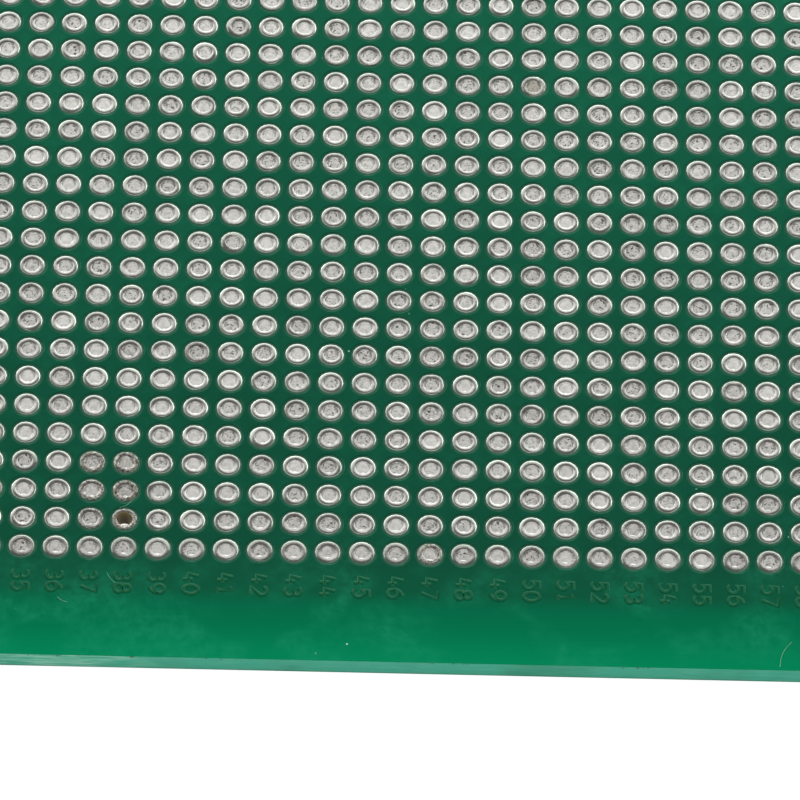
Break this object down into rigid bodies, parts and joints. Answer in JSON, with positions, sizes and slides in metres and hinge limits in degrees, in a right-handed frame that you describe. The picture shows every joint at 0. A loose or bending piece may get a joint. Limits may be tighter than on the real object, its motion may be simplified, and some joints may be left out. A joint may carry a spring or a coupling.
{
  "type": "bare circuit board",
  "caption": "Flat double-sided prototyping circuit board with a square grid of plated, tinned lead holes, green solder mask on both faces and a mounting hole near each corner.",
  "frame": {"origin": "under the middle of the board, on the plane of the solder crests that it lies on", "axes": "+X along the rows in the order of the column numbers, +Y away from the front edge, +Z out of the component face"},
  "size_m": [0.18, 0.07, 0.0017],
  "materials": {
    "glass_epoxy": "sawn glass-epoxy laminate",
    "solder_mask": "green photo-imaged lacquer",
    "tinned_copper": "hot-air-levelled solder"
  },
  "bodies": {
    "root": {"laminate": "glass_epoxy", "solder_mask_front": "solder_mask", "solder_mask_back": "solder_mask", "plated_holes_left": "tinned_copper", "plated_holes_right": "tinned_copper", "corner_rings": "tinned_copper"}
  },
  "joints": []
}
